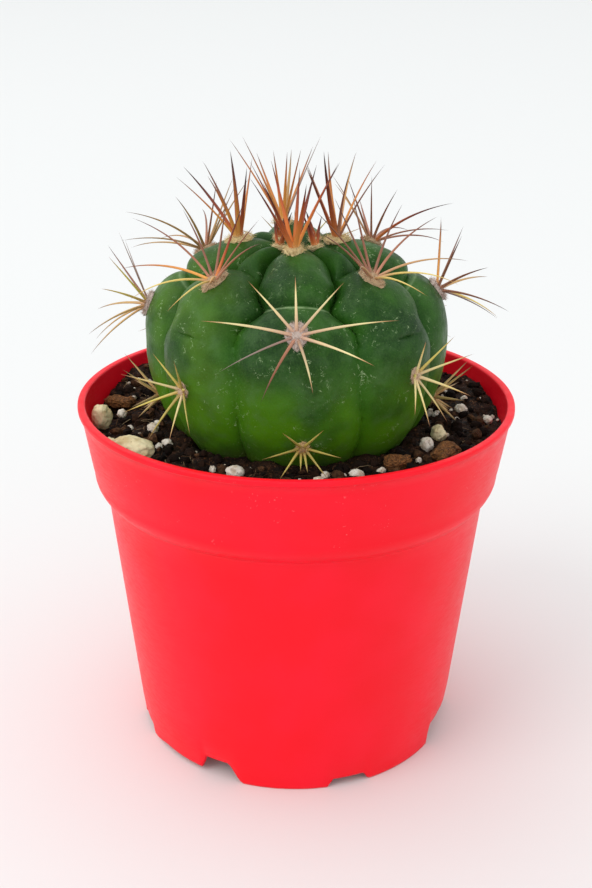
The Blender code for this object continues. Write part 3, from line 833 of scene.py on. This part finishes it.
# Colours from the root to the tip.
SPINE_COLOURS = {
    "crown": [(236, 160, 88), (214, 122, 58), (154, 66, 32), (54, 24, 20)],
    "dark": [(216, 134, 76), (166, 80, 42), (92, 34, 22), (34, 15, 12)],
    "amber": [(230, 166, 90), (220, 148, 72), (182, 110, 56), (72, 40, 28)],
    "rosy": [(176, 126, 104), (150, 98, 74), (124, 74, 54), (58, 36, 30)],
    "tawny": [(196, 150, 118), (200, 156, 112), (190, 146, 92), (64, 42, 32)],
    "yellow": [(186, 140, 104), (212, 184, 104), (224, 200, 116), (164, 122, 64)],
    "star": [(176, 138, 120), (204, 178, 140), (224, 210, 154), (140, 84, 50)],
    "grey": [(160, 124, 112), (150, 126, 118), (146, 128, 122), (120, 104, 98)],
    "golden": [(184, 160, 92), (190, 176, 88), (200, 184, 100), (140, 104, 54)],
    "cream": [(210, 190, 148), (222, 206, 146), (216, 190, 124), (150, 98, 66)],
    "tan": [(184, 144, 104), (188, 152, 98), (180, 146, 96), (96, 70, 52)],
    "straw": [(190, 152, 104), (204, 172, 116), (198, 168, 116), (122, 92, 62)],
}
SPINE_THICKNESS = {"dark": 1.25, "crown": 1.15, "grey": 0.8, "rosy": 0.95, "straw": 1.3}
WOOL_COLOURS = {
    "crown": (246, 222, 164),
    "young": (246, 224, 170),
    "middle": (226, 206, 194),
    "upper": (222, 190, 150),
    "lower": (238, 206, 176),
    "low": (226, 190, 136),
}
# Full width, length and height of the wool in millimetres, and how much it narrows downwards.
WOOL_SIZES = {
    "crown": (3.6, 5.2, 2.0, 0.25),
    "young": (2.6, 2.8, 1.4, 0.2),
    "middle": (3.8, 5.0, 1.7, 0.5),
    "upper": (3.2, 5.8, 1.9, 0.4),
    "lower": (2.5, 3.2, 1.6, 0.3),
    "low": (2.4, 3.0, 1.6, 0.3),
}


def drawn_out_rod(name, sides, rings):
    """A rod standing on Z = 0, one unit long, drawn out ring by ring and closed at its tip."""
    deselect()
    bpy.ops.mesh.primitive_circle_add(vertices=sides, radius=1.0, fill_type="NGON")
    rod = added(name)
    edit(rod)
    for ring in range(rings):
        bpy.ops.mesh.extrude_region_move(TRANSFORM_OT_translate={"value": (0.0, 0.0, 1.0 / rings)})
    bpy.ops.mesh.merge(type="CENTER")
    leave_edit()
    return rod


def tint_along(colours, share):
    """The colour of a spine at a share of its length."""
    stops = list(zip((0.0, 0.3, 0.68, 1.0), colours))
    for (left, low), (right, high) in zip(stops, stops[1:]):
        if share <= right:
            mix = (share - left) / (right - left)
            return [a + (b - a) * mix for a, b in zip(low, high)]
    return list(stops[-1][1])


def spine_line(frame_here, spine, spread):
    """The middle line of a spine as points and directions, from the wool to the tip."""
    here, normal, up, right = frame_here
    clock, lift, length, bend, turn = spine
    flat = up * math.cos(math.radians(clock)) + right * math.sin(math.radians(clock))
    side = flat.cross(normal)
    root = here + flat * (spread * PAD_WIDTH / 2) + normal * (0.2 * PAD_HEIGHT)
    points = [root]
    directions = []
    for index in range(SPINE_STEPS):
        share = (index + 0.5) / SPINE_STEPS
        angle = math.radians(lift + bend * (0.5 - share))
        direction = flat * math.cos(angle) + normal * math.sin(angle)
        direction = (direction + side * math.radians(turn) * (share - 0.5)).normalized()
        directions.append(direction)
        points.append(points[-1] + direction * (length * MM / SPINE_STEPS))
    directions.append(directions[-1])
    return points, directions, side


def build_cluster(rib, level, template, spine_finish, wool_finish, hair, dice):
    spines = grow_cluster(rib, level)
    common, others = SPINE_LOOKS[(rib, level)]
    turn_off, rise = OFF_CENTRE.get((rib, level), (0, 0))
    here = surface_frame((rib - 1) * RIB_ANGLE + turn_off, LEVELS[level] + rise)
    shape = points_of(template)
    flattened = level in ("crown", "young")
    copies = []
    for number, spine in enumerate(spines):
        look = others.get(number, common)
        points, directions, side = spine_line(here, spine, 0.2 if flattened else 0.36)
        thick = SPINE_RADIUS * SPINE_THICKNESS.get(look, 1.0) * dice.uniform(0.9, 1.08)
        wide, thin = (1.5, 0.9) if flattened else (1.05, 0.85)
        shade = dice.uniform(0.88, 1.1)
        knots = [dice.uniform(0.25, 0.9) for bead in range(3)]
        placed = np.zeros_like(shape)
        tints = np.ones((len(shape), 4))
        for index, (x, y, z) in enumerate(shape):
            ring = min(round(z * SPINE_STEPS), SPINE_STEPS)
            share = ring / SPINE_STEPS
            direction = directions[ring]
            across = direction.cross(side).normalized()
            slim = (1 - share**1.7) * 0.92 + 0.08 * (1 - share) + 0.02
            flare = 1.0 + 0.25 * math.exp(-share * 10)
            flare += 0.06 * sum(math.exp(-(((share - knot) / 0.05) ** 2)) for knot in knots)
            spot = points[ring] + side * (x * thick * slim * wide * flare)
            spot += across * (y * thick * slim * thin * flare)
            placed[index] = spot
            tint = tint_along(SPINE_COLOURS[look], share)
            tints[index] = paint(*[min(part * shade, 255) for part in tint])
        copies.append((placed, tints))
    name = f"spines_rib{rib}_{level}"
    piece = joined_copies(f"{name}_horn", template, copies)
    place_done(piece, spine_finish, spine_slot(level), [name], smooth=60)
    build_wool(rib, level, here, wool_finish, hair, dice)


def spine_slot(level):
    if level in ("crown", "young"):
        return "crown_spines"
    return "upper_spines" if level in ("upper", "middle") else "pale_spines"


def build_wool(rib, level, here, material, hair, dice):
    """A felt cushion on the areole, covered in short curled hairs."""
    spot, normal, up, right = here
    turn = Matrix((right, up, normal)).transposed()
    width, length, height, narrowing = [size * 0.5 for size in WOOL_SIZES[level]]
    narrowing *= 2

    def on_cushion(x, y, z, swell=1.0):
        narrow = 1.0 - narrowing * max(-y, 0.0)
        return Vector((x * width * narrow, y * length, z * height)) * MM * swell

    deselect()
    bpy.ops.mesh.primitive_ico_sphere_add(subdivisions=4, radius=1.0)
    felt = added(f"wool_rib{rib}_{level}")
    tone = np.array(paint(*WOOL_COLOURS[level]))
    for vertex in felt.data.vertices:
        place = vertex.co.copy()
        lumps = 1.0 + 0.2 * noise.noise(place * 2.6 + Vector((rib, 7.0, 3.0)))
        lumps += 0.12 * noise.noise(place * 6) + 0.09 * noise.noise(place * 15)
        vertex.co = spot + turn @ on_cushion(*place, lumps)
    tint = felt.data.attributes.new("tint", "FLOAT_COLOR", "POINT")
    for item in tint.data:
        item.color = tone * 0.7
        item.color[3] = 1.0
    place_done(felt, material, spine_slot(level), smooth=60)
    shape = points_of(hair)
    copies = []
    for index in range(round(85 * width * length)):
        theta = dice.uniform(0, 2 * math.pi)
        high = dice.uniform(0.05, 1.0)
        ring = math.sqrt(1 - high * high)
        x, y = ring * math.cos(theta), ring * math.sin(theta)
        root = on_cushion(x, y, high, 0.95)
        out = Vector((x / width, y / length, high / height * 0.8)).normalized()
        lean = Vector((dice.gauss(0, 1), dice.gauss(0, 1), dice.gauss(0, 0.6)))
        first = (out + lean * 0.5).normalized()
        second = (first + Vector((dice.gauss(0, 1), dice.gauss(0, 1), dice.gauss(0, 1))) * 0.8).normalized()
        reach = dice.uniform(0.4, 1.7 if level == "crown" else 1.15) * MM
        thick = dice.uniform(0.018, 0.034) * MM
        side = first.cross(Vector((0.3, 0.5, 0.8))).normalized()
        other = first.cross(side)
        placed = np.zeros_like(shape)
        for number, (px, py, pz) in enumerate(shape):
            bent = root + first * (reach * min(pz, 0.5)) + second * (reach * max(pz - 0.5, 0.0))
            local = bent + (side * px + other * py) * thick * (1 - 0.6 * pz)
            placed[number] = spot + turn @ local
        shade = dice.uniform(0.7, 1.12)
        if dice.random() < 0.12 and level != "crown":
            shade *= 0.4
        tints = np.tile(np.minimum(tone * shade, 1.0), (len(shape), 1))
        tints[:, 3] = 1.0
        copies.append((placed, tints))
    fuzz = joined_copies(f"wool_hairs_rib{rib}_{level}", hair, copies)
    place_done(fuzz, material, spine_slot(level), smooth=60)


# The soil


def soil_height(x, y):
    place = Vector((x, y, 0.0))
    height = SOIL_LEVEL + SOIL_UNEVENNESS * noise.noise(place / SOIL_CLOD_SIZE)
    height += 0.9 * MM * noise.noise(place / (3.4 * MM) + Vector((5, 2, 1)))
    height += 0.5 * MM * noise.noise(place / (1.5 * MM) + Vector((9, 4, 2)))
    height += 0.25 * MM * noise.noise(place / (0.7 * MM))
    angle = math.degrees(math.atan2(x, -y))
    radius = math.hypot(x, y)
    heap = 2.6 * math.exp(-(((angle + 124) / 14) ** 2)) + 2.2 * math.exp(-(((angle - 110) / 13) ** 2))
    heap -= 1.5 * math.exp(-(((angle + 92) / 15) ** 2))
    return height + MM * heap * eased(radius / MM, [(28, 0.2), (38, 1.0)])


def body_radius_at(angle, height):
    """How far out the skin is, at an angle and a height near the soil."""
    low, high = -80.0, 0.0
    for step in range(14):
        middle = (low + high) / 2
        if body_point(angle, middle).z < height:
            low = middle
        else:
            high = middle
    point = body_point(angle, (low + high) / 2)
    return math.hypot(point.x, point.y)


def inner_wall_radius(height):
    share = (POT_HEIGHT - LIP_HEIGHT - height) / (COLLAR_HEIGHT - LIP_HEIGHT)
    return COLLAR_TOP_RADIUS - WALL - COLLAR_TAPER * share


def build_soil(material):
    steps = 300
    top_rings = 44
    side = [(radius - FIT_GAP, height) for radius, height in collar_line(WALL)]
    side = [point for point in side if FLOOR_TOP + FIT_GAP < point[1] < COLLAR_LEVEL]
    bottom = FLOOR_TOP + FIT_GAP
    side += [(wall_radius(bottom) - WALL - FIT_GAP, bottom), (0.0, bottom)]
    hidden = [-88, -70, -58, -48, -42]
    edge = {}
    for step in range(steps + 1):
        edge[step] = body_radius_at(360.0 * step / steps, SOIL_LEVEL + 0.2 * MM)
    total = len(hidden) + top_rings + len(side)

    def place(angle, share):
        index = round(share * total)
        if index == 0:
            return Vector((0.0, 0.0, body_point(0, -90).z - FIT_GAP))
        if index <= len(hidden):
            point = body_point(angle, hidden[index - 1])
            return point + Vector((point.x, point.y, -10 * MM)).normalized() * FIT_GAP
        index -= len(hidden) + 1
        if index < top_rings:
            inner = edge[round(angle / 360.0 * steps)] + 0.1 * MM
            outer = inner_wall_radius(SOIL_LEVEL) - FIT_GAP * 0.3
            radius = inner + (outer - inner) * index / (top_rings - 1)
            spot = around(angle, radius)
            return Vector((spot.x, spot.y, soil_height(spot.x, spot.y)))
        radius, height = side[index - top_rings]
        return around(angle, radius, height)

    soil = wrapped_grid("soil", steps, total, place)
    return place_done(soil, material, "soil", ["soil"], smooth=60)


def crumb_template(seed):
    """One crumb about one unit across, with twenty-four faces."""
    deselect()
    bpy.ops.mesh.primitive_cube_add(size=1.0)
    crumb = added(f"crumb_{seed}")
    edit(crumb)
    bpy.ops.mesh.subdivide(number_cuts=1, smoothness=0.9)
    leave_edit()
    for vertex in crumb.data.vertices:
        lump = 1.0 + 0.5 * noise.noise(vertex.co * 1.7 + Vector((seed * 3.1, seed, 2.0)))
        vertex.co = vertex.co.normalized() * 0.55 * lump
    return crumb


def free_spot(dice, reach, taken):
    """A spot on the soil, clear of the body, the wall and what already lies there."""
    for attempt in range(40):
        angle = dice.uniform(-180, 180)
        inner = 25.6 * MM + reach
        outer = inner_wall_radius(SOIL_LEVEL) - reach - 0.25 * MM
        radius = math.sqrt(dice.uniform(inner * inner, outer * outer))
        spot = around(angle, radius)
        if all((spot - other).length > reach * 0.7 + size for other, size in taken):
            if radius - reach > body_radius_at(angle, SOIL_LEVEL + reach):
                return spot
    return None


def scattered(name, templates, count, sizes, colours, sink, taken, dice):
    """Many small lumps strewn on the soil as one piece for each template."""
    batches = [[] for template in templates]
    for index in range(count):
        size = sizes[0] + (sizes[1] - sizes[0]) * dice.random() ** 2.2
        spot = free_spot(dice, size / 2 * MM, taken)
        if spot is None:
            continue
        which = index % len(templates)
        turn = Matrix.Rotation(dice.uniform(0, 6.28), 3, "Z")
        turn = turn @ Matrix.Rotation(dice.uniform(0, 6.28), 3, "X")
        squash = Matrix.Diagonal((1.0, dice.uniform(0.65, 1.0), dice.uniform(0.55, 0.9)))
        matrix = np.array(turn @ squash) * size * MM
        lift = soil_height(spot.x, spot.y) + size * (0.5 - sink) * MM
        placed = points_of(templates[which]) @ matrix.T + np.array((spot.x, spot.y, lift))
        shade = dice.uniform(0.6, 1.25)
        colour = np.array(paint(*dice.choice(colours))) * shade
        colour[3] = 1.0
        batches[which].append((placed, np.tile(colour, (len(placed), 1))))
    made = []
    for template, copies in zip(templates, batches):
        if copies:
            made.append(joined_copies(f"{name}_{len(made) + 1}", template, copies))
    return made


ROOT_COUNT = 260


def build_roots(template, finish, dice):
    """Fine pale root hairs and fibres lying on and poking out of the soil."""
    shape = points_of(template)
    copies = []
    for index in range(ROOT_COUNT):
        spot = free_spot(dice, 0.7 * MM, [])
        if spot is None:
            continue
        heading = dice.uniform(0, 2 * math.pi)
        curl = dice.uniform(-1.4, 1.4)
        length = dice.uniform(1.6, 5.5) * MM
        thick = dice.uniform(0.035, 0.085) * MM
        rise = dice.uniform(-0.1, 0.45)
        points = []
        point = Vector((spot.x, spot.y, soil_height(spot.x, spot.y) + 0.15 * MM))
        for step in range(4):
            points.append(point.copy())
            heading += curl / 3
            forward = Vector((math.cos(heading), math.sin(heading), rise * (1 - step)))
            point = point + forward * length / 3
            if math.hypot(point.x, point.y) > inner_wall_radius(SOIL_LEVEL) - 0.4 * MM:
                break
        if len(points) < 4 or any(math.hypot(p.x, p.y) < 26.5 * MM for p in points):
            continue
        placed = np.zeros_like(shape)
        for number, (x, y, z) in enumerate(shape):
            ring = min(round(z * 3), 3)
            ahead = points[min(ring + 1, 3)] - points[max(ring - 1, 0)]
            side = ahead.cross(Vector((0, 0, 1))).normalized()
            top = ahead.cross(side).normalized()
            placed[number] = points[ring] + (side * x + top * y) * thick * (1 - 0.5 * z)
        tone = paint(*dice.choice([(120, 88, 62), (168, 138, 104), (88, 60, 44), (196, 170, 134)]))
        copies.append((placed, np.tile(np.array(tone), (len(shape), 1))))
    roots = joined_copies("root_fibres", template, copies)
    return place_done(roots, finish, "soil", smooth=60)


def build_stone(name, finishes):
    """A pitted lump for pumice and perlite, a layered chip for bark, resting in the soil."""
    angle, from_wall, size, turn = STONES[name]
    kind = name.split("_")[0]
    middle = around(angle, COLLAR_TOP_RADIUS - WALL - from_wall * MM)
    ground = SOIL_LEVEL + SOIL_UNEVENNESS * noise.noise(middle / SOIL_CLOD_SIZE)
    middle.z = ground + STONE_SHOWING * size[2] * MM
    deselect()
    if kind == "bark":
        bpy.ops.mesh.primitive_cube_add(size=1.0)
        stone = added(f"{name}_chip")
        edit(stone)
        bpy.ops.mesh.bevel(offset=0.3, segments=3, affect="EDGES")
        bpy.ops.mesh.subdivide(number_cuts=7)
        leave_edit()
    else:
        fine = 5 if kind == "pumice" else 4
        bpy.ops.mesh.primitive_ico_sphere_add(subdivisions=fine, radius=0.5)
        stone = added(f"{name}_lump")
    place = Matrix.Translation(middle) @ Matrix.Rotation(math.radians(angle + turn), 4, "Z")
    place = place @ Matrix.Diagonal((*(Vector(size) * MM), 1.0))
    for vertex in stone.data.vertices:
        local = vertex.co.copy()
        seed = middle / MM
        if kind == "bark":
            ragged = 0.5 * noise.noise(Vector((local.x * 2, local.y * 2, 0)) + seed)
            ragged += 0.2 * noise.noise(Vector((local.x * 7, local.y * 4, local.z * 9)) + seed)
            local.x *= 1.0 + ragged * 0.8
            local.y *= 1.0 + ragged
            local.z *= 1.0 + 0.5 * noise.noise(Vector((local.x * 3, local.y * 3, 0)) + seed)
            local.z += 0.10 * noise.noise(Vector((local.x * 9, local.y * 2.5, local.z * 4)) + seed)
        else:
            swell = 0.22 * noise.noise(local * 2.6 + seed)
            swell += 0.09 * noise.noise(local * 6.5 + seed)
            rough = 2.2 * size[0]
            swell += 0.035 * noise.noise(local * rough * 2 + seed)
            pit = noise.noise(local * rough + seed * 2)
            if kind == "perlite" or name in ("pumice_right", "pumice_back", "pumice_chip_left"):
                swell -= 0.10 * max(pit - 0.22, 0.0) * 2
            else:
                swell -= 0.04 * max(pit - 0.30, 0.0) * 2
            local *= 1.0 + swell
        vertex.co = place @ local
    return place_done(stone, finishes[kind], kind, [name], smooth=60)


def build_ground(finishes, dice):
    taken = []
    for name, (angle, from_wall, size, turn) in STONES.items():
        middle = around(angle, COLLAR_TOP_RADIUS - WALL - from_wall * MM)
        taken.append((middle, max(size[0], size[1]) * 0.42 * MM))
        build_stone(name, finishes)
    crumbs = [crumb_template(seed) for seed in range(1, 5)]
    earth = [(42, 26, 18), (30, 18, 12), (60, 39, 26), (20, 11, 8), (96, 66, 44), (26, 15, 10)]
    white = [(224, 214, 200), (206, 186, 162), (232, 226, 216)]
    strewn = [
        ("soil_crumbs", 1000, (0.5, 2.6), earth, 0.36, "crumbs", "soil"),
        ("perlite_grit", 120, (0.5, 1.7), white, 0.35, "perlite", "perlite"),
    ]
    for name, count, sizes, colours, sink, finish, slot in strewn:
        for piece in scattered(name, crumbs, count, sizes, colours, sink, taken, dice):
            place_done(piece, finishes[finish], slot, smooth=30)
    drop(*crumbs)


# Light, floor and camera


def build_stage():
    deselect()
    bpy.ops.mesh.primitive_plane_add(size=12.0, location=(0.0, 3.0, 0.0))
    floor = added("studio_floor")
    bpy.ops.object.transform_apply(location=True, rotation=True, scale=True)
    floor.data.materials.append(paper_floor())

    world = bpy.data.worlds.new("studio_air")
    bpy.context.scene.world = world
    world.use_nodes = True
    sky = world.node_tree.nodes["Background"]
    sky.inputs["Color"].default_value = (0.97, 0.985, 1.0, 1.0)
    sky.inputs["Strength"].default_value = 0.925

    def soft_box(name, place, aim, size, power, colour=(1.0, 1.0, 1.0)):
        light = bpy.data.lights.new(name, "AREA")
        light.shape = "DISK"
        light.size = size
        light.energy = power
        light.color = colour
        lamp = linked(name, light)
        lamp.location = place
        lamp.rotation_euler = (Vector(aim) - Vector(place)).to_track_quat("-Z", "Y").to_euler()

    soft_box("window_left", (-2.2, -1.6, 2.4), (0, 0, 0.06), 2.2, 31.0, (1.0, 0.99, 0.975))
    soft_box("fill_front", (0.35, -1.6, 0.5), (0, 0, 0.06), 0.9, 1.2, (1.0, 0.99, 0.98))
    sun = bpy.data.lights.new("overcast_sky", "SUN")
    sun.angle = math.radians(70)
    sun.energy = 0.55
    lamp = linked("overcast_sky", sun)
    lamp.rotation_euler = (math.radians(-14), math.radians(-24), 0.0)


LENS = 51.72
CAMERA_PLACE = (0.0, -0.235, 0.158141)
CAMERA_LOOKS_DOWN = 0.397
CAMERA_ROLL = 0.007


def build_camera():
    data = bpy.data.cameras.new("camera")
    data.sensor_width = 36.0
    data.lens = LENS
    camera = linked("camera", data)
    tilt = Matrix.Rotation(math.radians(90) - CAMERA_LOOKS_DOWN, 4, "X")
    roll = Matrix.Rotation(CAMERA_ROLL, 4, "Z")
    camera.matrix_world = Matrix.Translation(CAMERA_PLACE) @ tilt @ roll
    data.clip_start = 0.01
    bpy.context.scene.camera = camera


def main():
    build_camera()
    build_stage()
    bpy.context.scene.view_settings.view_transform = "Standard"
    dice = random.Random(8)
    finishes = {
        "pumice": cream_pumice(),
        "perlite": white_perlite(),
        "bark": bark_chip(),
        "crumbs": crumb_earth(),
    }
    build_pot(red_plastic())
    build_body(cactus_skin())
    build_soil(soil_peat())
    build_ground(finishes, dice)
    hair = drawn_out_rod("hair", 3, 3)
    build_roots(hair, finishes["crumbs"], dice)
    needle = drawn_out_rod("needle", 8, SPINE_STEPS)
    horn = spine_horn()
    fleece = wool()
    for rib, level in SPINE_LOOKS:
        build_cluster(rib, level, needle, horn, fleece, hair, dice)
    drop(needle, hair)


main()
